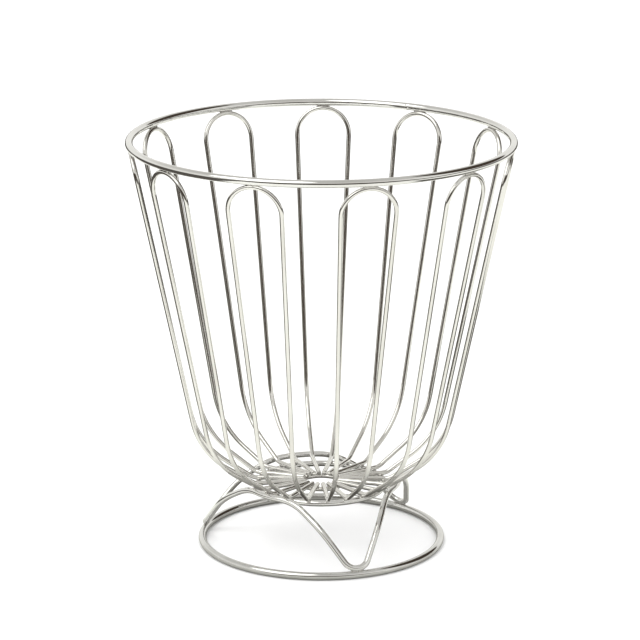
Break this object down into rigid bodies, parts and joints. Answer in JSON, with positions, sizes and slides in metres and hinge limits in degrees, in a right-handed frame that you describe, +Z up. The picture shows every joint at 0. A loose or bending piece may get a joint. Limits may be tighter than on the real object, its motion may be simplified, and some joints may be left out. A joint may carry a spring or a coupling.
{
  "type": "wire produce basket",
  "caption": "Tapered chrome wire basket that holds fruit or vegetables, with looped upright wires under a round rim and a ring foot on a wave-shaped stand wire.",
  "frame": {"origin": "centre of the foot ring's circle on the surface the basket stands on", "axes": "+Z up through the middle of the rim, -Y towards the front, +X to the front's right"},
  "size_m": [0.2398, 0.2396, 0.2597],
  "materials": {
    "heavy_wire_chrome": "bright plated",
    "basket_wire_chrome": "bright plated",
    "stand_wire_chrome": "bright plated",
    "weld_bead_chrome": "plated over a weld"
  },
  "bodies": {
    "root": {"rim_ring": "heavy_wire_chrome", "floor_ring": "stand_wire_chrome", "hub_ring": "basket_wire_chrome", "foot_ring": "heavy_wire_chrome", "hairpin_wire_01": "basket_wire_chrome", "hairpin_wire_02": "basket_wire_chrome", "hairpin_wire_03": "basket_wire_chrome", "hairpin_wire_04": "basket_wire_chrome", "hairpin_wire_05": "basket_wire_chrome", "hairpin_wire_06": "basket_wire_chrome", "hairpin_wire_07": "basket_wire_chrome", "hairpin_wire_08": "basket_wire_chrome", "hairpin_wire_09": "basket_wire_chrome", "hairpin_wire_10": "basket_wire_chrome", "hairpin_wire_11": "basket_wire_chrome", "wave_stand_wire": "stand_wire_chrome"}
  },
  "joints": []
}
